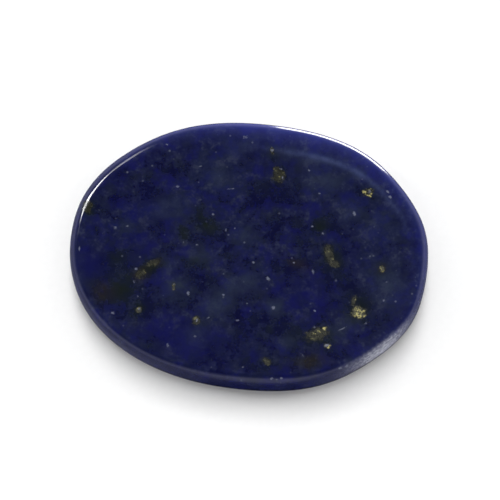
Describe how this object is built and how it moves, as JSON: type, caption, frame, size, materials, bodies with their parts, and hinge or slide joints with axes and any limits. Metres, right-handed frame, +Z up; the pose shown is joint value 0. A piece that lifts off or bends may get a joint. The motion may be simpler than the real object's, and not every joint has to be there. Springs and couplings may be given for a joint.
{
  "type": "lapis lazuli worry stone",
  "caption": "Polished oval tablet of lapis lazuli with a broad shallow thumb dish on top, a rounded edge and a small flat resting spot underneath.",
  "frame": {"origin": "on the surface that the stone rests on, under the middle of the stone's length and depth", "axes": "+X along the stone's length, +Y across it and away from the viewer, +Z up out of the dish"},
  "size_m": [0.0448, 0.035, 0.0068],
  "materials": {
    "polished_lapis": "polished"
  },
  "bodies": {
    "root": {"lapis_stone": "polished_lapis"}
  },
  "joints": []
}
